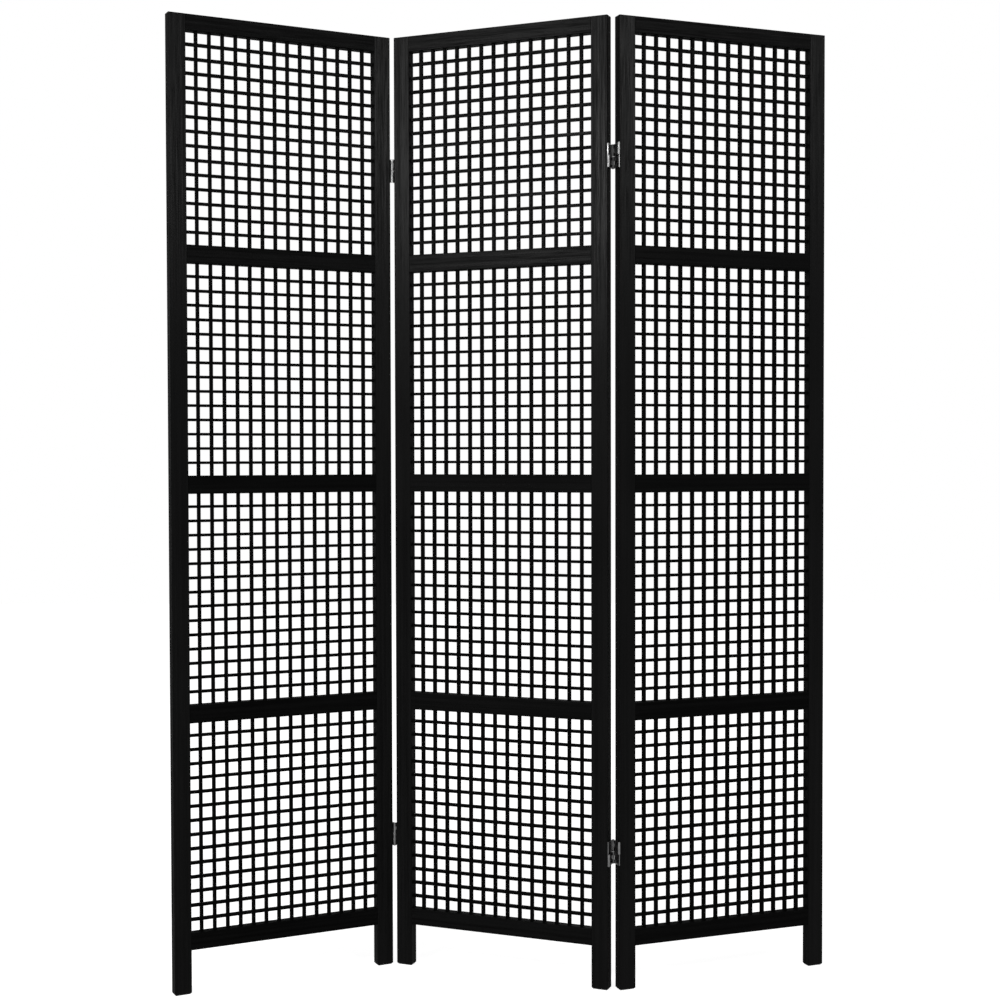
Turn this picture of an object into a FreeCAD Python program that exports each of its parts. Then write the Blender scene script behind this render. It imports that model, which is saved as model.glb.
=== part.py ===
import FreeCAD, Part
import Sketcher
import os

# A free-standing folding screen: three alike panels, each a frame of two stiles and five rails
# round four sections of open lattice, joined by four crossing-link hinges that stand in a zigzag.
# Z is up, X runs along the screen, Y runs from the front to the back, and the floor is at zero.

SIZES = (
    # the frame of a panel
    ("thickness", 20, "frame stock, front to back"),
    ("stile_width", 32.2, "face of an upright stile"),
    ("top_rail_height", 29.5, "face of the top rail"),
    ("middle_rail_height", 33.2, "face of a rail between two sections"),
    ("bottom_rail_height", 31, "face of the bottom rail"),
    ("leg_length", 80.3, "stile below the bottom rail"),
    ("edge_round", 1.2, "rounding of the sanded edges"),
    ("foot_chamfer", 3, "bevel round the foot of a stile"),
    ("tenon_length", 16, "rail's tenon inside the stile"),
    ("tenon_thickness", 8, "tenon, front to back"),
    ("tenon_shoulder", 5, "rail above and below its tenon"),
    ("tenon_gap", 0.1, "room round a tenon in its mortise"),
    # the lattice of a section
    ("section_count", 4, "sections in a panel"),
    ("bar_count", 14, "bars each way in a section"),
    ("bar_width", 5, "bar, seen from the front"),
    ("bar_depth", 8.6, "bar, front to back"),
    ("cell_width", 24.9, "step from one upright bar to the next"),
    ("cell_height", 26, "step from one cross bar to the next"),
    ("end_cell_width", 21.4, "middle of the last upright bar to the stile"),
    ("end_cell_height", 23.35, "middle of the last cross bar to the rail"),
    ("bar_seat", 4, "depth of a bar's socket in the frame"),
    ("seat_gap", 0.05, "room round a bar in its socket"),
    ("lap_gap", 0.05, "room beside a bar in its half lap"),
    # the hinges
    ("hinge_inset", 253, "middle of a hinge to the end of the stile"),
    ("hinge_height", 43.6, "whole hinge, upper and lower half"),
    ("hinge_split", 0.8, "between the upper and the lower half"),
    ("leaf_thickness", 1.2, "plate on the edge of the stile"),
    ("leaf_to_pin", 1.5, "face of the leaf to the pins' plane"),
    ("pin_proud", 2.5, "pin's axis in front of the panel's face"),
    ("knuckle_radius", 2.3, "outside of a rolled knuckle"),
    ("knuckle_gap", 0.15, "between two knuckles on one pin"),
    ("link_thickness", 1.2, "plate of a crossing link"),
    ("link_gap", 0.5, "link's plate to the knuckles at its ends"),
    ("pin_radius", 1.2, "hinge pin"),
    ("pin_play", 0.05, "room round a pin in its knuckle"),
    ("pin_head_radius", 1.9, "flat head of a pin"),
    ("pin_head_height", 0.6, "flat head of a pin"),
    # the screws of a leaf
    ("screw_count", 4, "screws in a leaf"),
    ("screw_step", 10.8, "from one screw to the next"),
    ("screw_length", 14, "whole screw"),
    ("screw_radius", 1.35, "shank of a screw"),
    ("screw_tip", 3, "point of a screw"),
    ("screw_head_radius", 2.4, "countersunk head"),
    ("screw_head_depth", 1.05, "countersunk head"),
    ("screw_play", 0.05, "room round a screw in its hole"),
    ("slot_length", 2.6, "cross slot in the head"),
    ("slot_width", 0.6, "cross slot in the head"),
    ("slot_depth", 0.6, "cross slot in the head"),
    # how the screen stands, in degrees about the upright axis
    ("centre_turn", -22.8, "centre panel, from the line of the screen"),
    ("left_fold", 49.6, "left panel from the centre panel, front faces closing"),
    ("right_fold", 44, "right panel from the centre panel, back faces closing"),
)

# Sizes that follow from those in the sheet.
SECTION_WIDTH = "((Sizes.bar_count - 1) * Sizes.cell_width + 2 * Sizes.end_cell_width)"
SECTION_HEIGHT = "((Sizes.bar_count - 1) * Sizes.cell_height + 2 * Sizes.end_cell_height)"
SECTION_STEP = f"({SECTION_HEIGHT} + Sizes.middle_rail_height)"
SECTION_START = "(Sizes.leg_length + Sizes.bottom_rail_height)"
LAST_RAIL_START = f"({SECTION_START} + Sizes.section_count * {SECTION_STEP} - Sizes.middle_rail_height)"
PANEL_HEIGHT = f"({LAST_RAIL_START} + Sizes.top_rail_height)"
PANEL_WIDTH = f"({SECTION_WIDTH} + 2 * Sizes.stile_width)"
FIRST_UPRIGHT = "((1 - Sizes.bar_count) * Sizes.cell_width / 2)"
SOCKET_DEPTH = "(Sizes.bar_seat + Sizes.seat_gap)"
SOCKET_WIDTH = "(Sizes.bar_width + 2 * Sizes.seat_gap)"
SOCKET_THICKNESS = "(Sizes.bar_depth + 2 * Sizes.seat_gap)"
LAP_WIDTH = "(Sizes.bar_width + 2 * Sizes.lap_gap)"
PIN_REACH = "(Sizes.leaf_thickness + Sizes.leaf_to_pin)"
PIN_OFFSET = "(Sizes.thickness / 2 + Sizes.pin_proud)"
HALF_HEIGHT = "((Sizes.hinge_height - Sizes.hinge_split) / 2)"
HALF_MIDDLE = "((Sizes.hinge_height + Sizes.hinge_split) / 4)"
KNUCKLE_HEIGHT = f"(({HALF_HEIGHT} - 2 * Sizes.knuckle_gap) / 3)"
KNUCKLE_STEP = f"({KNUCKLE_HEIGHT} + Sizes.knuckle_gap)"
FIRST_SCREW = "((1 - Sizes.screw_count) * Sizes.screw_step / 2)"
HINGE_HEIGHTS = {"upper": f"({PANEL_HEIGHT} - Sizes.hinge_inset)", "lower": "Sizes.hinge_inset"}

doc = FreeCAD.newDocument("FoldingScreen")
sheet = doc.addObject("Spreadsheet::Sheet", "Sizes")
for row, (name, value, meaning) in enumerate(SIZES, start=1):
    sheet.set(f"A{row}", name)
    sheet.set(f"B{row}", str(value))
    sheet.set(f"C{row}", meaning)
    sheet.setAlias(f"B{row}", name)
doc.recompute()

ORIGIN_POINT = -1  # the sketcher's own number for the origin and the horizontal axis
UPRIGHT_AXIS = -2
START = 1
END = 2
TINY = 0.001


# ---- drawing ----


def origin_feature(body, role):
    return next(item for item in body.Origin.OriginFeatures if item.Role == role)


def new_sketch(body, plane, at):
    """A sketch on one of the body's own planes, moved in it and off it by the expressions in at."""
    sketch = body.newObject("Sketcher::SketchObject", "Outline")
    sketch.AttachmentSupport = [(origin_feature(body, plane), "")]
    sketch.MapMode = "FlatFace"
    for axis, distance in zip("xyz", at):
        sketch.setExpression(f"AttachmentOffset.Base.{axis}", distance)
    return sketch


def closed_lines(sketch, points):
    """Lines from point to point and back, joined at their ends."""
    corners = [FreeCAD.Vector(x, y, 0) for x, y in points]
    lines = [Part.LineSegment(a, b) for a, b in zip(corners, corners[1:] + corners[:1])]
    ids = sketch.addGeometry(lines, False)
    for here, after in zip(ids, ids[1:] + ids[:1]):
        sketch.addConstraint(Sketcher.Constraint("Coincident", here, END, after, START))
    return ids


def rectangle(body, plane, width, height, at=("0", "0", "0")):
    """A rectangle about the sketch's own origin."""
    sketch = new_sketch(body, plane, at)
    bottom, right, top, left = closed_lines(sketch, ((-4, -3), (4, -3), (4, 3), (-4, 3)))
    for line in (bottom, top):
        sketch.addConstraint(Sketcher.Constraint("Horizontal", line))
    for line in (right, left):
        sketch.addConstraint(Sketcher.Constraint("Vertical", line))
    middle = Sketcher.Constraint("Symmetric", bottom, START, top, START, ORIGIN_POINT, START)
    sketch.addConstraint(middle)
    across = sketch.addConstraint(Sketcher.Constraint("DistanceX", bottom, START, bottom, END, 8))
    up = sketch.addConstraint(Sketcher.Constraint("DistanceY", right, START, right, END, 6))
    sketch.setExpression(f"Constraints[{across}]", width)
    sketch.setExpression(f"Constraints[{up}]", height)
    return sketch


def circle(body, plane, radius, at=("0", "0", "0")):
    """A circle about the sketch's own origin."""
    sketch = new_sketch(body, plane, at)
    ring = sketch.addGeometry(Part.Circle(FreeCAD.Vector(), FreeCAD.Vector(0, 0, 1), 2), False)
    centre = Sketcher.Constraint("Coincident", ring, 3, ORIGIN_POINT, START)
    sketch.addConstraint(centre)
    size = sketch.addConstraint(Sketcher.Constraint("Radius", ring, 2))
    sketch.setExpression(f"Constraints[{size}]", radius)
    return sketch


# ---- features ----


def pad(body, sketch, length):
    """The sketch made solid, half of the length to each side of it."""
    solid = body.newObject("PartDesign::Pad", "Pad")
    solid.Profile = sketch
    solid.SideType = "Symmetric"
    solid.setExpression("Length", length)
    doc.recompute()
    return solid


def pocket(body, sketch, length):
    """The sketch cut away, half of the length to each side of it."""
    before = body.Shape.Volume
    cut = body.newObject("PartDesign::Pocket", "Pocket")
    cut.Profile = sketch
    cut.SideType = "Symmetric"
    cut.setExpression("Length", length)
    doc.recompute()
    if not body.Shape.Volume < before:
        raise RuntimeError(f"a pocket of {body.Label} removes nothing")
    return cut


def repeat(body, feature, axis, count, step):
    """A row of the feature along an axis, which starts at the feature itself."""
    pattern = body.newObject("PartDesign::LinearPattern", "Row")
    pattern.Originals = [feature]
    pattern.Direction = (origin_feature(body, axis), [""])
    pattern.Mode = "Spacing"
    pattern.setExpression("Occurrences", count)
    pattern.setExpression("Offset", step)
    body.Tip = pattern
    doc.recompute()
    return pattern


def edges_where(shape, test):
    return [f"Edge{number}" for number, edge in enumerate(shape.Edges, start=1) if test(edge)]


def steepness(edge, direction):
    """How nearly a straight edge lies along a direction, from 0 to 1."""
    start, end = (vertex.Point for vertex in edge.Vertexes)
    return abs((end - start).normalize().dot(direction))


def round_edges(body, solid, test):
    rounded = body.newObject("PartDesign::Fillet", "Rounded")
    rounded.Base = (solid, edges_where(solid.Shape, test))
    rounded.setExpression("Radius", "Sizes.edge_round")
    doc.recompute()
    return rounded


def new_body(name, many_solids=False):
    body = doc.addObject("PartDesign::Body", name)
    body.AllowCompound = many_solids
    return body


# ---- pieces of a panel, each about its own middle in X and Y ----


def make_stile(name, hinged):
    """A stile on the left of a panel, its inner edge on +X. The one on the right is turned about Z."""
    body = new_body(name)
    bar = rectangle(body, "XY_Plane", "Sizes.stile_width", "Sizes.thickness", ("0", "0", f"{PANEL_HEIGHT} / 2"))
    solid = pad(body, bar, PANEL_HEIGHT)
    bevel = body.newObject("PartDesign::Chamfer", "FootBevel")
    bevel.Base = (solid, edges_where(solid.Shape, lambda edge: edge.BoundBox.ZMax < TINY))
    bevel.setExpression("Size", "Sizes.foot_chamfer")
    doc.recompute()
    top = bevel.Shape.BoundBox.ZMax
    upright = FreeCAD.Vector(0, 0, 1)
    round_edges(
        body, bevel, lambda edge: steepness(edge, upright) > 0.5 or edge.BoundBox.ZMin > top - TINY
    )

    mortise_middle = "Sizes.stile_width / 2 - (Sizes.tenon_length + Sizes.tenon_gap) / 2"
    thick = "Sizes.tenon_thickness + 2 * Sizes.tenon_gap"

    def mortise(rail_height, rail_middle):
        tall = f"{rail_height} - 2 * Sizes.tenon_shoulder + 2 * Sizes.tenon_gap"
        outline = rectangle(body, "YZ_Plane", thick, tall, ("0", rail_middle, mortise_middle))
        return pocket(body, outline, "Sizes.tenon_length + Sizes.tenon_gap")

    mortise("Sizes.bottom_rail_height", "Sizes.leg_length + Sizes.bottom_rail_height / 2")
    mortise("Sizes.top_rail_height", f"{PANEL_HEIGHT} - Sizes.top_rail_height / 2")
    middle_rail = f"{SECTION_START} + {SECTION_STEP} - Sizes.middle_rail_height / 2"
    first = mortise("Sizes.middle_rail_height", middle_rail)
    repeat(body, first, "Z_Axis", "Sizes.section_count - 1", SECTION_STEP)

    socket_middle = f"Sizes.stile_width / 2 - {SOCKET_DEPTH} / 2"
    for section in range(int(sheet.section_count)):
        lowest = f"{SECTION_START} + {section} * {SECTION_STEP} + Sizes.end_cell_height"
        outline = rectangle(body, "YZ_Plane", SOCKET_THICKNESS, SOCKET_WIDTH, ("0", lowest, socket_middle))
        socket = pocket(body, outline, SOCKET_DEPTH)
        repeat(body, socket, "Z_Axis", "Sizes.bar_count", "Sizes.cell_height")

    depth = "(Sizes.screw_length - Sizes.leaf_thickness + Sizes.screw_play)"
    for hinge_middle in HINGE_HEIGHTS.values() if hinged else ():
        at = ("0", f"{hinge_middle} + {FIRST_SCREW}", f"{depth} / 2 - Sizes.stile_width / 2")
        ring = circle(body, "YZ_Plane", "Sizes.screw_radius + Sizes.screw_play", at)
        hole = pocket(body, ring, depth)
        repeat(body, hole, "Z_Axis", "Sizes.screw_count", "Sizes.screw_step")
    return body


def make_rail(name, height, sockets_below, sockets_above):
    """A rail with its underside at zero, a tenon at each end and sockets for the upright bars."""
    body = new_body(name)
    bar = rectangle(body, "XY_Plane", SECTION_WIDTH, "Sizes.thickness", ("0", "0", f"{height} / 2"))
    solid = pad(body, bar, height)
    lengthwise = FreeCAD.Vector(1, 0, 0)
    round_edges(body, solid, lambda edge: steepness(edge, lengthwise) > 0.999)
    tall = f"{height} - 2 * Sizes.tenon_shoulder"
    tenon = rectangle(body, "YZ_Plane", "Sizes.tenon_thickness", tall, ("0", f"{height} / 2", "0"))
    pad(body, tenon, f"{SECTION_WIDTH} + 2 * Sizes.tenon_length")
    for wanted, middle in (
        (sockets_below, f"{SOCKET_DEPTH} / 2"),
        (sockets_above, f"{height} - {SOCKET_DEPTH} / 2"),
    ):
        if wanted:
            outline = rectangle(body, "XY_Plane", SOCKET_WIDTH, SOCKET_THICKNESS, (FIRST_UPRIGHT, "0", middle))
            socket = pocket(body, outline, SOCKET_DEPTH)
            repeat(body, socket, "X_Axis", "Sizes.bar_count", "Sizes.cell_width")
    return body


def make_upright_bars():
    """The upright bars of a section, whose opening starts at zero, lapped away on their back half."""
    body = new_body("UprightBars", many_solids=True)
    at = (FIRST_UPRIGHT, "0", f"{SECTION_HEIGHT} / 2")
    bar = rectangle(body, "XY_Plane", "Sizes.bar_width", "Sizes.bar_depth", at)
    solid = pad(body, bar, f"{SECTION_HEIGHT} + 2 * Sizes.bar_seat")
    repeat(body, solid, "X_Axis", "Sizes.bar_count", "Sizes.cell_width")
    at = ("Sizes.bar_depth / 2", "Sizes.end_cell_height", "0")
    outline = rectangle(body, "YZ_Plane", "Sizes.bar_depth", LAP_WIDTH, at)
    lap = pocket(body, outline, SECTION_WIDTH)
    repeat(body, lap, "Z_Axis", "Sizes.bar_count", "Sizes.cell_height")
    return body


def make_cross_bars():
    """The cross bars of a section, lapped away on their front half."""
    body = new_body("CrossBars", many_solids=True)
    bar = rectangle(body, "YZ_Plane", "Sizes.bar_depth", "Sizes.bar_width", ("0", "Sizes.end_cell_height", "0"))
    solid = pad(body, bar, f"{SECTION_WIDTH} + 2 * Sizes.bar_seat")
    repeat(body, solid, "Z_Axis", "Sizes.bar_count", "Sizes.cell_height")
    at = (FIRST_UPRIGHT, "-Sizes.bar_depth / 2", f"{SECTION_HEIGHT} / 2")
    outline = rectangle(body, "XY_Plane", LAP_WIDTH, "Sizes.bar_depth", at)
    lap = pocket(body, outline, SECTION_HEIGHT)
    repeat(body, lap, "X_Axis", "Sizes.bar_count", "Sizes.cell_width")
    return body


# ---- pieces of a hinge, about its middle with the two panels in line ----


def screw_outline(body, at, play):
    """Half of a countersunk screw, its head at the sketch's origin and its point on +X."""
    sketch = new_sketch(body, "XY_Plane", at)
    radius = f"Sizes.screw_radius + {play}"
    head_radius = f"Sizes.screw_head_radius + {play}"
    points = (
        ("0", "0"),
        ("0", head_radius),
        ("Sizes.screw_head_depth", radius),
        ("Sizes.screw_length - Sizes.screw_tip", radius),
        ("Sizes.screw_length", "0"),
    )
    ids = closed_lines(sketch, ((0, 0), (0, 2.4), (1, 1.4), (11, 1.4), (14, 0)))
    for line, (x, y) in zip(ids, points):
        for kind, distance, axis in (("DistanceX", x, UPRIGHT_AXIS), ("DistanceY", y, ORIGIN_POINT)):
            if distance == "0":
                sketch.addConstraint(Sketcher.Constraint("PointOnObject", line, START, axis))
            else:
                to_point = Sketcher.Constraint(kind, ORIGIN_POINT, START, line, START, 1)
                index = sketch.addConstraint(to_point)
                sketch.setExpression(f"Constraints[{index}]", distance)
    return sketch


def revolve(body, kind, sketch):
    turned = body.newObject(kind, "Turned")
    turned.Profile = sketch
    turned.ReferenceAxis = (sketch, ["H_Axis"])
    turned.Angle = 360
    doc.recompute()
    return turned


def make_screw():
    """A countersunk wood screw with a cross slot, its point on +X."""
    body = new_body("Screw")
    revolve(body, "PartDesign::Revolution", screw_outline(body, ("0", "0", "0"), "0"))
    at = ("0", "0", "Sizes.slot_depth / 2")
    for width, height in (("Sizes.slot_length", "Sizes.slot_width"), ("Sizes.slot_width", "Sizes.slot_length")):
        pocket(body, rectangle(body, "YZ_Plane", width, height, at), "Sizes.slot_depth")
    return body


def make_leaf():
    """The leaf on the panel to the left: knuckles at the back above, and at the front below."""
    body = new_body("Leaf")
    plate_at = (f"Sizes.leaf_thickness / 2 - {PIN_REACH}", "0", "0")
    plate = rectangle(body, "XY_Plane", "Sizes.leaf_thickness", "Sizes.thickness", plate_at)
    pad(body, plate, "Sizes.hinge_height")
    bend = f"({PIN_OFFSET} - Sizes.knuckle_radius + Sizes.leaf_thickness)"
    for side in ("1", "-1"):
        for step in ("1", "-1"):
            middle = f"{side} * ({HALF_MIDDLE} + {step} * {KNUCKLE_STEP})"
            ear_at = (plate_at[0], f"{side} * {bend} / 2", middle)
            ear = rectangle(body, "XY_Plane", "Sizes.leaf_thickness", bend, ear_at)
            pad(body, ear, KNUCKLE_HEIGHT)
            tab_at = (f"-{PIN_REACH} / 2", f"{side} * ({bend} - Sizes.leaf_thickness / 2)", middle)
            tab = rectangle(body, "XY_Plane", PIN_REACH, "Sizes.leaf_thickness", tab_at)
            pad(body, tab, KNUCKLE_HEIGHT)
            knuckle = circle(body, "XY_Plane", "Sizes.knuckle_radius", ("0", f"{side} * {PIN_OFFSET}", middle))
            pad(body, knuckle, KNUCKLE_HEIGHT)
        bore_at = ("0", f"{side} * {PIN_OFFSET}", f"{side} * {HALF_MIDDLE}")
        bore = circle(body, "XY_Plane", "Sizes.pin_radius + Sizes.pin_play", bore_at)
        pocket(body, bore, HALF_HEIGHT)
    hole = revolve(body, "PartDesign::Groove", leaf_hole_outline(body))
    repeat(body, hole, "Z_Axis", "Sizes.screw_count", "Sizes.screw_step")
    return body


def leaf_hole_outline(body):
    """The hole of the lowest screw, cut from the leaf's open face towards the stile."""
    sketch = screw_outline(body, ("Sizes.leaf_to_pin", "0", FIRST_SCREW), "Sizes.screw_play")
    sketch.AttachmentOffset = FreeCAD.Placement(
        sketch.AttachmentOffset.Base, FreeCAD.Rotation(FreeCAD.Vector(0, 0, 1), 180)
    )
    sketch.setExpression("AttachmentOffset.Base.x", "-Sizes.leaf_to_pin")
    return sketch


def make_link():
    """A link of the upper half: a plate from the back pin to the front pin, with a knuckle on each."""
    body = new_body("Link")
    plate_width = f"2 * ({PIN_OFFSET} - Sizes.knuckle_radius - Sizes.link_gap)"
    at = ("0", "0", HALF_MIDDLE)
    pad(body, rectangle(body, "XY_Plane", "Sizes.link_thickness", plate_width, at), HALF_HEIGHT)
    neck = rectangle(body, "XY_Plane", "Sizes.link_thickness", f"2 * {PIN_OFFSET}", at)
    pad(body, neck, KNUCKLE_HEIGHT)
    for side in ("1", "-1"):
        knuckle_at = ("0", f"{side} * {PIN_OFFSET}", HALF_MIDDLE)
        pad(body, circle(body, "XY_Plane", "Sizes.knuckle_radius", knuckle_at), KNUCKLE_HEIGHT)
        bore = circle(body, "XY_Plane", "Sizes.pin_radius + Sizes.pin_play", knuckle_at)
        pocket(body, bore, HALF_HEIGHT)
    return body


def make_pin():
    """A pin of the upper half, with its flat head on top of the knuckles."""
    body = new_body("Pin")
    pad(body, circle(body, "XY_Plane", "Sizes.pin_radius", ("0", "0", HALF_MIDDLE)), HALF_HEIGHT)
    head_at = ("0", "0", "Sizes.hinge_height / 2 + Sizes.pin_head_height / 2")
    pad(body, circle(body, "XY_Plane", "Sizes.pin_head_radius", head_at), "Sizes.pin_head_height")
    return body


plain_stile = make_stile("PlainStile", hinged=False)
hinged_stile = make_stile("HingedStile", hinged=True)
top_rail = make_rail("TopRail", "Sizes.top_rail_height", sockets_below=True, sockets_above=False)
middle_rail = make_rail("MiddleRail", "Sizes.middle_rail_height", sockets_below=True, sockets_above=True)
bottom_rail = make_rail("BottomRail", "Sizes.bottom_rail_height", sockets_below=False, sockets_above=True)
lattice = [make_upright_bars(), make_cross_bars()]
leaf = make_leaf()
link = make_link()
pin = make_pin()
screw = make_screw()


# ---- placing the pieces ----

# Each panel has a frame of its own at the middle of its foot. The hinges turn the left panel about
# their front pins and the right panel about their back pins, both seen from the centre panel.


def moved(x="0", y="0", z="0", turn="0", about="0; 0; 1"):
    return f"placement(vector({x}; {y}; {z}); rotation(vector({about}); {turn}))"


def panel_frame(name, placement):
    frame = doc.addObject("Part::LocalCoordinateSystem", name)
    frame.setExpression("Placement", placement)
    return frame


REACH = f"({PANEL_WIDTH} / 2 + {PIN_REACH})"
centre_frame = doc.addObject("Part::LocalCoordinateSystem", "CentreFrame")
centre_turn = FreeCAD.Rotation(FreeCAD.Vector(0, 0, 1), sheet.centre_turn)
centre_frame.Placement = FreeCAD.Placement(FreeCAD.Vector(), centre_turn)
front_pins = moved(f"-{REACH}", f"-{PIN_OFFSET}", turn="Sizes.left_fold")
left_from_pins = moved(f"-{REACH}", PIN_OFFSET)
panel_frame("LeftFrame", f"CentreFrame.Placement * {front_pins} * {left_from_pins}")
back_pins = moved(REACH, PIN_OFFSET, turn="Sizes.right_fold")
right_from_pins = moved(REACH, f"-{PIN_OFFSET}")
panel_frame("RightFrame", f"CentreFrame.Placement * {back_pins} * {right_from_pins}")

nodes = []


def place(label, pieces, frame, *moves):
    """A node: the pieces in a panel's frame, carried there by the moves."""
    piece = doc.addObject("Part::Compound", label)
    piece.Label = label
    piece.Links = pieces
    piece.setExpression("Placement", " * ".join((f"{frame}.Placement",) + moves))
    nodes.append(piece)


def copy_of(piece, *moves):
    """A fastener among its like, placed in the panel's frame."""
    copy = doc.addObject("Part::Compound", "Copy")
    copy.Links = [piece]
    copy.setExpression("Placement", " * ".join(moves))
    return copy


def place_frame_and_lattice(panel, frame, hinged_left, hinged_right):
    stile_middle = f"({PANEL_WIDTH} - Sizes.stile_width) / 2"
    left_stile = hinged_stile if hinged_left else plain_stile
    right_stile = hinged_stile if hinged_right else plain_stile
    place(f"{panel}_left_stile", [left_stile], frame, moved(f"-{stile_middle}"))
    place(f"{panel}_right_stile", [right_stile], frame, moved(stile_middle, turn="180"))
    place(f"{panel}_bottom_rail", [bottom_rail], frame, moved(z="Sizes.leg_length"))
    place(f"{panel}_top_rail", [top_rail], frame, moved(z=LAST_RAIL_START))
    sections = int(sheet.section_count)
    for number in range(1, sections):
        height = f"{LAST_RAIL_START} - {number} * {SECTION_STEP}"
        place(f"{panel}_middle_rail_{number}", [middle_rail], frame, moved(z=height))
    for number in range(1, sections + 1):
        height = f"{SECTION_START} + {sections - number} * {SECTION_STEP}"
        place(f"{panel}_lattice_{number}", lattice, frame, moved(z=height))


FLIPPED = moved(turn="180", about="1; 0; 0")
ROUND = moved(turn="180")


def place_fasteners(panel, frame, hinged_left, hinged_right):
    """The pins in the knuckles of this panel's leaves, and the screws that hold the leaves."""
    pins = []
    screws = []
    for hinged, side, leaf_turn, screw_turn in (
        (hinged_right, "1", "0", "180"),
        (hinged_left, "-1", "180", "0"),
    ):
        if not hinged:
            continue
        for height in HINGE_HEIGHTS.values():
            hinge = moved(f"{side} * {REACH}", z=height, turn=leaf_turn)
            pins.append(copy_of(pin, hinge, moved(y=PIN_OFFSET)))
            pins.append(copy_of(pin, hinge, moved(y=f"-{PIN_OFFSET}"), FLIPPED))
            face = f"{side} * ({PANEL_WIDTH} / 2 + Sizes.leaf_thickness)"
            for number in range(int(sheet.screw_count)):
                screw_height = f"{height} + {FIRST_SCREW} + {number} * Sizes.screw_step"
                screws.append(copy_of(screw, moved(face, z=screw_height, turn=screw_turn)))
    place(f"{panel}_hinge_pins", pins, frame)
    place(f"{panel}_hinge_screws", screws, frame)


def place_hinges(joint, left_frame, right_frame, upper_link_frame, lower_link_frame):
    """The leaves and links of the two hinges between a left and a right panel.

    A hinge stays whole because both of its panel frames agree on where its pins are. A link lies in
    the frame of the panel that it folds against.
    """
    sides = {left_frame: REACH, right_frame: f"-{REACH}"}
    for level, height in HINGE_HEIGHTS.items():
        name = f"{joint}_{level}_hinge"
        place(f"{name}_left_leaf", [leaf], left_frame, moved(REACH, z=height))
        place(f"{name}_right_leaf", [leaf], right_frame, moved(f"-{REACH}", z=height), ROUND)
        place(f"{name}_upper_link", [link], upper_link_frame, moved(sides[upper_link_frame], z=height))
        lower_place = moved(sides[lower_link_frame], z=height)
        place(f"{name}_lower_link", [link], lower_link_frame, lower_place, FLIPPED)


for panel_name, its_frame, on_left, on_right in (
    ("left_panel", "LeftFrame", False, True),
    ("centre_panel", "CentreFrame", True, True),
    ("right_panel", "RightFrame", True, False),
):
    place_frame_and_lattice(panel_name, its_frame, on_left, on_right)
    place_fasteners(panel_name, its_frame, on_left, on_right)

# Folded towards the front, the upper links lie along the left panel. Folded towards the back, they
# lie along the right panel.
place_hinges("left", "LeftFrame", "CentreFrame", "LeftFrame", "CentreFrame")
place_hinges("right", "CentreFrame", "RightFrame", "RightFrame", "CentreFrame")
doc.recompute()



def whole_box():
    """The tight box round every node."""
    box = FreeCAD.BoundBox()
    for piece in nodes:
        box.add(piece.Shape.optimalBoundingBox(False, False))
    return box


# The origin is at the middle of the bottom of the whole screen as it stands.
whole = whole_box()
centre_frame.Placement = FreeCAD.Placement(FreeCAD.Vector(-whole.Center.x, -whole.Center.y, 0), centre_turn)
doc.recompute()

# ---- checks and files ----

for item in doc.Objects:
    if "Invalid" in item.State or "Error" in item.State:
        raise RuntimeError(f"{item.Label} failed: {item.State}")
for piece in doc.findObjects("PartDesign::Body") + nodes:
    if piece.Shape.isNull():
        raise RuntimeError(f"{piece.Label} has no shape")
# A node holds placed copies of the bodies, so it is as valid as they are.
for piece in doc.findObjects("PartDesign::Body"):
    if not piece.Shape.isValid():
        raise RuntimeError(f"{piece.Label} has no valid shape")

os.makedirs("parts", exist_ok=True)
for piece in nodes:
    piece.Shape.exportStep(f"parts/{piece.Label}.step")

whole = whole_box()
print(f"{len(nodes)} nodes, {sum(len(piece.Shape.Solids) for piece in nodes)} solids")
print(f"box {whole.XMin:.3f} {whole.YMin:.3f} {whole.ZMin:.3f} to {whole.XMax:.3f} {whole.YMax:.3f} {whole.ZMax:.3f}")
reach, offset = (doc.getObject("LeftFrame").evalExpression(text) for text in (REACH, PIN_OFFSET))
for name, x, y in (("left hinges", -reach, -offset), ("right hinges", reach, offset)):
    axis = centre_frame.Placement.multVec(FreeCAD.Vector(x, y, 0))
    print(f"pin axis of the {name}: {axis.x:.4f} {axis.y:.4f}")
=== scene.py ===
# %% [markdown]
# # A folding screen in black stained wood
#
# The screen has three panels that stand in a zigzag. Each panel is a frame of two
# stiles and five rails round four sections of open lattice, and four small metal hinges
# join the panels. All of these are hard, machined pieces, so their shapes come from the
# construction model as they are, with their rounded edges, sockets, knuckles and screw
# slots. What is left to make here is what the eye reads as wood, stain and metal, and
# the light that shows it.

# %% Load the model and keep its box
import math

import bpy
from mathutils import Euler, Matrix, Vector


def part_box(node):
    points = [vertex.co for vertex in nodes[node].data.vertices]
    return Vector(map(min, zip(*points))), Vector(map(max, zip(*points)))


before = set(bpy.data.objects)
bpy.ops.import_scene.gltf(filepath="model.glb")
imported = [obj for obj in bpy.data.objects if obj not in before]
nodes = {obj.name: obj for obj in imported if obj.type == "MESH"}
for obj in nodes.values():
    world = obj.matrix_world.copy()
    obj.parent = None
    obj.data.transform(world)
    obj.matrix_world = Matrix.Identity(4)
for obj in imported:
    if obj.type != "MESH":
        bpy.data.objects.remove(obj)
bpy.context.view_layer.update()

# %% [markdown]
# A material is a small program: values flow from node to node and end in the shader.
# Written with bare nodes, one line of arithmetic takes six lines of code. A class that
# wraps a socket and answers to +, - and * lets the same arithmetic be written as it is
# read, and still makes ordinary Math nodes that can be opened in the editor.

# %% A socket that can be calculated with


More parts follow.
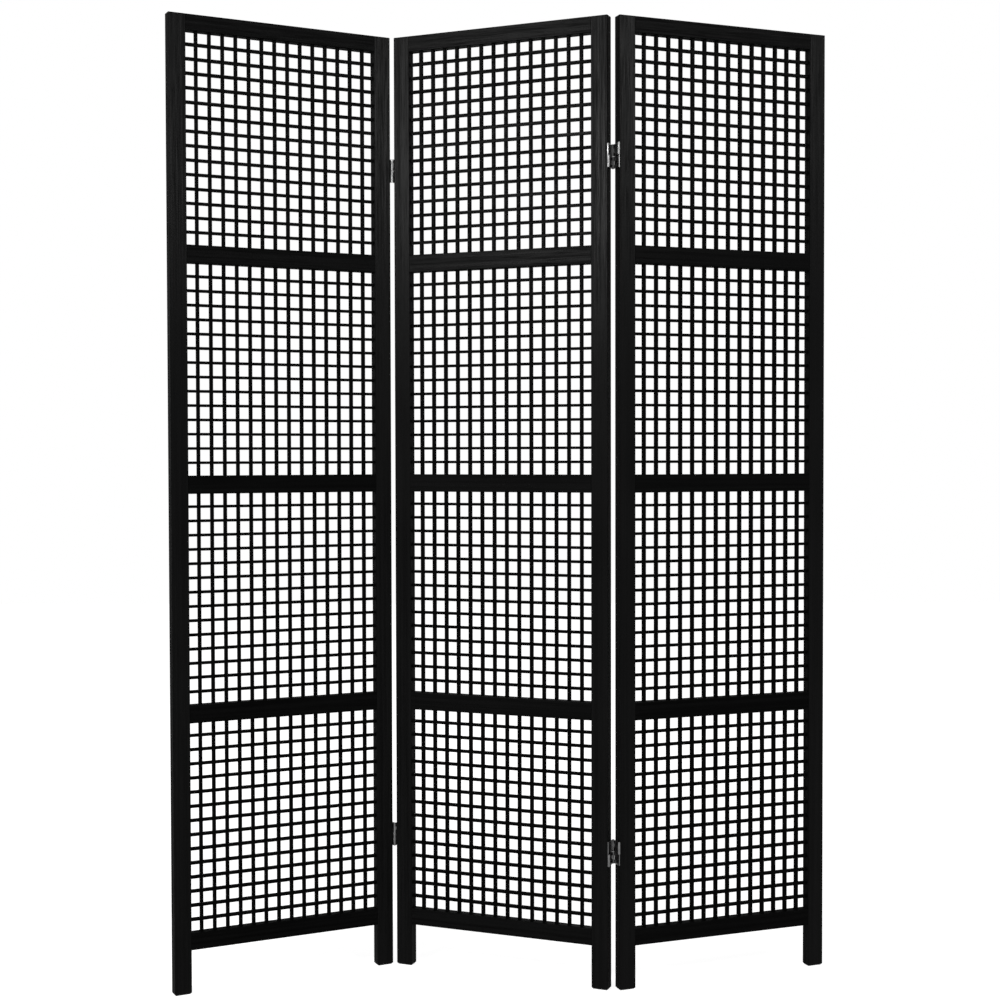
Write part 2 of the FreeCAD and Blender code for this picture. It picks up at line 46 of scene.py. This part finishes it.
class Value:
    """A number or a vector that flows out of a node."""

    def __init__(self, tree, socket):
        self.tree = tree
        self.socket = socket

    def node(self, kind, inputs, output=0, **settings):
        """A new node: its settings first, then the links or values of its sockets."""
        made = self.tree.nodes.new(kind)
        for name, value in settings.items():
            setattr(made, name, value)
        for name, value in inputs.items():
            if isinstance(value, Value):
                self.tree.links.new(value.socket, made.inputs[name])
            else:
                made.inputs[name].default_value = value
        return Value(self.tree, made.outputs[output])

    def math(self, operation, *others):
        """A Math node with this value in its first socket."""
        inputs = dict(enumerate((self,) + others))
        return self.node("ShaderNodeMath", inputs, operation=operation)

    def __add__(self, other):
        return self.math("ADD", other)

    def __sub__(self, other):
        return self.math("SUBTRACT", other)

    def __mul__(self, other):
        return self.math("MULTIPLY", other)

    def __rsub__(self, other):
        inputs = {0: other, 1: self}
        return self.node("ShaderNodeMath", inputs, operation="SUBTRACT")

    __radd__ = __add__
    __rmul__ = __mul__

    def along(self, direction):
        """How far a point lies in a direction."""
        kind, inputs = "ShaderNodeVectorMath", {0: self, 1: direction}
        return self.node(kind, inputs, "Value", operation="DOT_PRODUCT")

    def between(self, low, high, start=0.0, end=1.0):
        """A smooth ramp from start to end, while the value goes from low to high."""
        inputs = {"Value": self, "From Min": low, "From Max": high}
        inputs |= {"To Min": start, "To Max": end}
        return self.node("ShaderNodeMapRange", inputs, interpolation_type="SMOOTHSTEP")

    def mixed(self, dark, light):
        """The colour dark where the value is 0, and light where it is 1."""
        kind, inputs = "ShaderNodeMix", {0: self, 6: dark, 7: light}
        return self.node(kind, inputs, 2, data_type="RGBA", clamp_factor=True)


print("a value answers to + - * and to along, between and mixed")

# %% [markdown]
# Every material starts the same way: a Principled shader whose fixed numbers are typed
# into its own sockets, and the point on the surface, which all patterns are drawn from.
# The point is taken in the object's own space, so that a pattern stays on its panel
# when the panel folds.

# %% Start and feed a material


def start_material(name):
    """A new material, its shader, and the point on the surface."""
    material = bpy.data.materials.new(name)
    material.use_nodes = True
    tree = material.node_tree
    shader = tree.nodes["Principled BSDF"]
    place = tree.nodes.new("ShaderNodeTexCoord")
    return material, shader, Value(tree, place.outputs["Object"])


def feed(shader, **inputs):
    """Values and links into the shader's sockets, with _ for a space in a name."""
    for name, value in inputs.items():
        socket = shader.inputs[name.replace("_", " ")]
        if isinstance(value, Value):
            value.tree.links.new(value.socket, socket)
        else:
            socket.default_value = value


def stretched(point, axes, sizes):
    """The point measured in a pattern's own sizes, in metres, along three axes."""
    parts = [point.along(axis) * (1 / size) for axis, size in zip(axes, sizes)]
    return point.node("ShaderNodeCombineXYZ", dict(zip("XYZ", parts)))


def noise(place, detail, roughness=0.5):
    """Soft marks between 0 and 1, about one to each unit of the place."""
    inputs = {"Vector": place, "Scale": 1.0, "Detail": detail, "Roughness": roughness}
    return place.node("ShaderNodeTexNoise", inputs, "Fac")


def grey(level):
    return (level, level, level, 1.0)


print("materials start from the point on the surface, in the panel's own space")

# %% [markdown]
# Black stained wood is hardly ever black all over. The stain sinks into the open pores
# and stays thin on the hard late wood, so the grain shows as slightly lighter and
# darker streaks along the board. Over it lies a thin satin varnish. It is smoothest on
# the hard streaks and dips into the pores, and that is where the fine broken sheen
# comes from. A picture of wood would repeat itself and end at the edges, so noise is
# used that is stretched along the board: wide bands for the growth rings, fine threads
# for the pores, and large soft clouds where the stain took unevenly.
#
# Only the faces of a panel are rubbed down between two coats. Its narrow edges are left
# as they dry, so they are duller. They are also painted darker: painted shade, as the
# narrow edges catch little of the lamps' light. The direction in which a surface looks
# tells the two apart.

# %% Black stained wood
PORE_SIZE = (0.0011, 0.0011, 0.060)
RING_SIZE = (0.0048, 0.0048, 0.700)
CLOUD_SIZE = (0.09, 0.09, 0.25)
RING_SHARE, PORE_SHARE = 0.55, 0.45
# EDGE_PAINTED_SHADE darkens the narrow edges of the wood: painted shade.
STREAK_TONE, CLOUD_TONE, EDGE_PAINTED_SHADE = 0.75, 0.25, 0.5
SATIN = 0.40
STREAK_GLOSS, PORE_DULLNESS, CLOUD_DULLNESS, EDGE_DULLNESS = 0.20, 0.14, 0.06, 0.42
RING_HEIGHT, GRAIN_DEPTH = 0.3, 0.00012
SURELY_FACE, SURELY_EDGE = 0.95, 0.55


def stained_wood(name, axes, dark, light, sheen):
    """Wood with its faces across the second of three axes and grain along the third."""
    material, shader, point = start_material(name)
    outward = point.node("ShaderNodeTexCoord", {}, "Normal")
    facing = outward.along(axes[1]).math("ABSOLUTE")
    edge = facing.between(SURELY_FACE, SURELY_EDGE)
    pores = noise(stretched(point, axes, PORE_SIZE), detail=3.0, roughness=0.6)
    rings = noise(stretched(point, axes, RING_SIZE), detail=2.0)
    cloud = noise(stretched(point, axes, CLOUD_SIZE), detail=1.0)
    streak = (rings * RING_SHARE + pores * PORE_SHARE).between(0.36, 0.66)
    open_pore = pores.between(0.50, 0.34)
    tone = streak * STREAK_TONE + cloud.between(0.3, 0.7) * CLOUD_TONE
    # The narrow edges are darkened in colour here: painted shade.
    tone = tone - edge * EDGE_PAINTED_SHADE
    roughness = SATIN - streak * STREAK_GLOSS + open_pore * PORE_DULLNESS
    roughness = roughness + cloud.between(0.35, 0.65) * CLOUD_DULLNESS
    roughness = roughness + edge * EDGE_DULLNESS
    height = rings * RING_HEIGHT - open_pore
    bump = {"Height": height, "Strength": 0.35, "Distance": GRAIN_DEPTH}
    feed(
        shader,
        Base_Color=tone.mixed(grey(dark), grey(light)),
        Roughness=roughness,
        Specular_IOR_Level=sheen,
        Normal=point.node("ShaderNodeBump", bump),
    )
    print(f"{name}: grey {dark} to {light}")
    return material


# %% [markdown]
# Grain follows the board: upright in the stiles, and along the panel in the rails. Each
# panel is turned its own way, so every panel gets its own finishes. Its direction is
# read from the model: it points from the panel's left stile to its right one. The
# centre panel's rails are a little shinier than the others. Their grey is also a little
# lighter, and that of the outer panels' rails a little darker, than the stiles' grey:
# painted light, a painted highlight on the centre rails and painted shade on the outer
# ones.

# %% Dress the frames


def middle(node):
    low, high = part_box(node)
    return (low + high) / 2


def dress(node, material):
    """The material on every face of the node."""
    for slot in nodes[node].material_slots:
        slot.material = material


PANELS = ("left_panel", "centre_panel", "right_panel")
RAILS = ("top_rail", "middle_rail_1", "middle_rail_2", "middle_rail_3", "bottom_rail")
STILE_FINISH = {"dark": 0.0008, "light": 0.0052, "sheen": 0.041}
# The rails' greys differ from the stiles' as painted light: a painted highlight on the
# centre panel's rails, painted shade on the outer panels' rails.
OUTER_RAIL_FINISH_AND_SHADE = {"dark": 0.0010, "light": 0.0045, "sheen": 0.015}
CENTRE_RAIL_FINISH_AND_HIGHLIGHT = {"dark": 0.0010, "light": 0.0056, "sheen": 0.025}
UP = (0, 0, 1)
crosswise = {}
for panel in PANELS:
    line = middle(f"{panel}_right_stile") - middle(f"{panel}_left_stile")
    line = line.normalized()
    along, facing = tuple(line), (-line.y, line.x, 0)
    upright = (along, facing, UP)
    crosswise[panel] = (UP, facing, along)
    rail_finish_and_painted_light = CENTRE_RAIL_FINISH_AND_HIGHLIGHT if panel == "centre_panel" else OUTER_RAIL_FINISH_AND_SHADE
    stile_wood = stained_wood(f"{panel}_stile_wood", upright, **STILE_FINISH)
    rail_wood = stained_wood(f"{panel}_rail_wood", crosswise[panel], **rail_finish_and_painted_light)
    for side in ("left", "right"):
        dress(f"{panel}_{side}_stile", stile_wood)
    for rail in RAILS:
        dress(f"{panel}_{rail}", rail_wood)
    print(f"{panel} is turned {math.degrees(math.atan2(line.y, line.x)):.1f} degrees")

# %% [markdown]
# The lattice is made of thin strips, half lapped into each other. On strips this thin
# the stain goes right through and the grain is too fine to read from a step away, so
# they look darker and more even than the frame. They get the same wood in darker greys
# and with less sheen.

# %% Dress the lattice
STRIP_FINISH = {"dark": 0.0008, "light": 0.0030, "sheen": 0.012}
SECTIONS = range(1, 5)
for panel in PANELS:
    strip_wood = stained_wood(f"{panel}_strip_wood", crosswise[panel], **STRIP_FINISH)
    for section in SECTIONS:
        dress(f"{panel}_lattice_{section}", strip_wood)

# %% [markdown]
# The hinges are pressed from steel strip and plated with nickel. Plating is never a
# perfect mirror: the rolled strip leaves fine lines under it, and handling leaves it a
# little dull in patches. A metal has no colour of its own under its reflections, so the
# pattern goes into the roughness and the bump, and only a little into the colour. Its
# greys are kept far darker than bright nickel: painted shade, for the shaded gaps in
# the hinges and the black panels that they mirror.

# %% Nickel plate, pins and screws
MODEL_AXES = ((1, 0, 0), (0, 1, 0), UP)
PATCH_SIZE = (0.006, 0.006, 0.009)
PATCH_GREY, PATCH_DULLNESS = 0.8, 0.12
LINE_DULLNESS, LINE_DEPTH = 0.10, 0.00003
PLATE_LINES = (0.0003, 0.0003, 0.012)
ROD_LINES = (0.0003, 0.0003, 0.006)
SCREW_GRIT = (0.0004, 0.0004, 0.0004)


def nickel(name, level, dullness, line_size):
    """Plated metal with fine lines and duller patches."""
    material, shader, point = start_material(name)
    lines = noise(stretched(point, MODEL_AXES, line_size), detail=2.0)
    patches = noise(stretched(point, MODEL_AXES, PATCH_SIZE), detail=3.0)
    dull = patches.between(0.35, 0.7)
    bump = {"Height": lines, "Strength": 0.2, "Distance": LINE_DEPTH}
    feed(
        shader,
        Base_Color=dull.mixed(grey(level), grey(level * PATCH_GREY)),
        Metallic=1.0,
        Roughness=dullness + lines * LINE_DULLNESS + dull * PATCH_DULLNESS,
        Normal=point.node("ShaderNodeBump", bump),
    )
    print(f"{name}: roughness from {dullness}")
    return material


# Greys of 0.15 to 0.22 are far darker than bright nickel: painted shade.
plate = nickel("nickel_plate", level=0.15, dullness=0.22, line_size=PLATE_LINES)
rod = nickel("nickel_rod", level=0.22, dullness=0.18, line_size=ROD_LINES)
screw_head = nickel("nickel_screw", level=0.20, dullness=0.24, line_size=SCREW_GRIT)
for name in nodes:
    if name.endswith("_hinge_pins"):
        dress(name, rod)
    elif name.endswith("_hinge_screws"):
        dress(name, screw_head)
    elif "_hinge_" in name:
        dress(name, plate)

# %% [markdown]
# The ground is plain white. A white surface is white in a picture only if it is lit
# hard, and hard light would grey the black wood. So the ground is two things at once.
# To the lamps it is an ordinary pale surface that takes the shadow. To the eye, and to
# the reflections in the hinges, it adds a glow of its own that brings it up to white.
# Round the feet the lamps do most of that, so the glow is weaker there and leaves a
# thin shadow where a foot meets the floor. Far out, where the lamps no longer reach,
# the glow does it alone.

# %% The floor


def seen_directly(tree):
    """1 for what the eye, a reflection or a clear piece sees, 0 for scattered light."""
    path = tree.nodes.new("ShaderNodeLightPath")
    kinds = ("Camera", "Glossy", "Transmission")
    camera, glossy, through = (
        Value(tree, path.outputs[f"Is {kind} Ray"]) for kind in kinds
    )
    return (camera + glossy + through).math("MINIMUM", 1.0)


FLOOR_SIZE = 16.0
FLOOR_GREY = 0.8
NEAR, FAR, NEAR_GLOW = 1.2, 2.6, 0.80
corner = FLOOR_SIZE / 2
corners = [(-corner, -corner), (corner, -corner), (corner, corner), (-corner, corner)]
floor_mesh = bpy.data.meshes.new("floor")
floor_mesh.from_pydata([(x, y, 0) for x, y in corners], [], [(0, 1, 2, 3)])
floor = bpy.data.objects.new("floor", floor_mesh)
bpy.context.scene.collection.objects.link(floor)
floor_paint, floor_shader, floor_point = start_material("floor_paint")
floor_mesh.materials.append(floor_paint)
distance = floor_point.node(
    "ShaderNodeVectorMath", {0: floor_point}, "Value", operation="LENGTH"
)
strength = distance.between(NEAR, FAR, start=NEAR_GLOW, end=1.0)
glow = seen_directly(floor_paint.node_tree) * strength
feed(
    floor_shader,
    Base_Color=grey(FLOOR_GREY),
    Roughness=1.0,
    Specular_IOR_Level=0.0,
    Emission_Color=glow.mixed(grey(0.0), grey(1.0)),
    Emission_Strength=1.0,
)
print(f"floor {FLOOR_SIZE} m square")

# %% [markdown]
# The world behind the floor is white to the eye too, and dim to the surfaces that it
# lights, as in a studio whose lamps do the work.

# %% The world
AMBIENT = 0.12
world = bpy.data.worlds.new("studio")
bpy.context.scene.world = world
world.use_nodes = True
sky = seen_directly(world.node_tree).mixed(grey(AMBIENT), grey(1.0))
feed(world.node_tree.nodes["Background"], Color=sky, Strength=1.0)
print(f"world {AMBIENT} as a lamp, white as a background")

# %% [markdown]
# Black varnish shows hardly anything but reflections, so each lamp hangs where a panel
# mirrors it to the eye: the centre panel looks to the left, the outer two to the right.
# These two lamps hang above the eye, so only the upper ends of the stiles mirror them,
# and the tone runs down into black. The left one is the brighter, as the centre panel
# is the lightest of the three. A wide one behind does the same for the back.

# %% The lamps


def soft_box(name, place, aim, size, power):
    """A soft rectangular lamp, and the point that it shines at."""
    lamp = bpy.data.lights.new(name, "AREA")
    lamp.shape = "RECTANGLE"
    lamp.size, lamp.size_y = size
    lamp.energy = power
    holder = bpy.data.objects.new(name, lamp)
    beam = Vector(aim) - Vector(place)
    holder.location = place
    holder.rotation_euler = beam.to_track_quat("-Z", "Y").to_euler()
    holder.visible_camera = False
    bpy.context.scene.collection.objects.link(holder)
    print(f"{name}: {power} W")


FRONT_AIM, BACK_AIM = (0.0, 0.0, 1.5), (0.0, 0.0, 1.3)
soft_box("left_box", (-1.60, -1.77, 1.99), FRONT_AIM, size=(0.9, 0.65), power=42)
soft_box("right_box", (1.80, -1.75, 2.14), FRONT_AIM, size=(1.5, 0.6), power=26)
soft_box("back_box", (0.2, 2.2, 2.5), BACK_AIM, size=(2.0, 0.8), power=24)

# %% [markdown]
# The camera stands just over three metres away, a little above the middle of the
# screen, and looks along the floor with a hair of downward tilt. A long lens from there
# keeps the three panels almost free of perspective, yet shows the near joint a little
# taller than the far one.

# %% The camera
PICTURE_PIXELS = 1000
FOCAL_PIXELS = 1669.5
SENSOR_WIDTH = 36.0  # millimetres
EYE = (-0.0087, -3.1202, 0.9805)
TILT, ROLL = 0.0260, 0.0022  # radians
camera_data = bpy.data.cameras.new("camera")
camera_data.sensor_fit = "HORIZONTAL"
camera_data.sensor_width = SENSOR_WIDTH
camera_data.lens = FOCAL_PIXELS / PICTURE_PIXELS * SENSOR_WIDTH
camera = bpy.data.objects.new("camera", camera_data)
camera.location = EYE
camera.rotation_euler = Euler((math.pi / 2 - TILT, ROLL, 0.0), "XYZ")
bpy.context.scene.collection.objects.link(camera)
bpy.context.scene.camera = camera
bpy.context.scene.view_settings.view_transform = "Standard"
print(f"lens {camera_data.lens:.1f} mm")
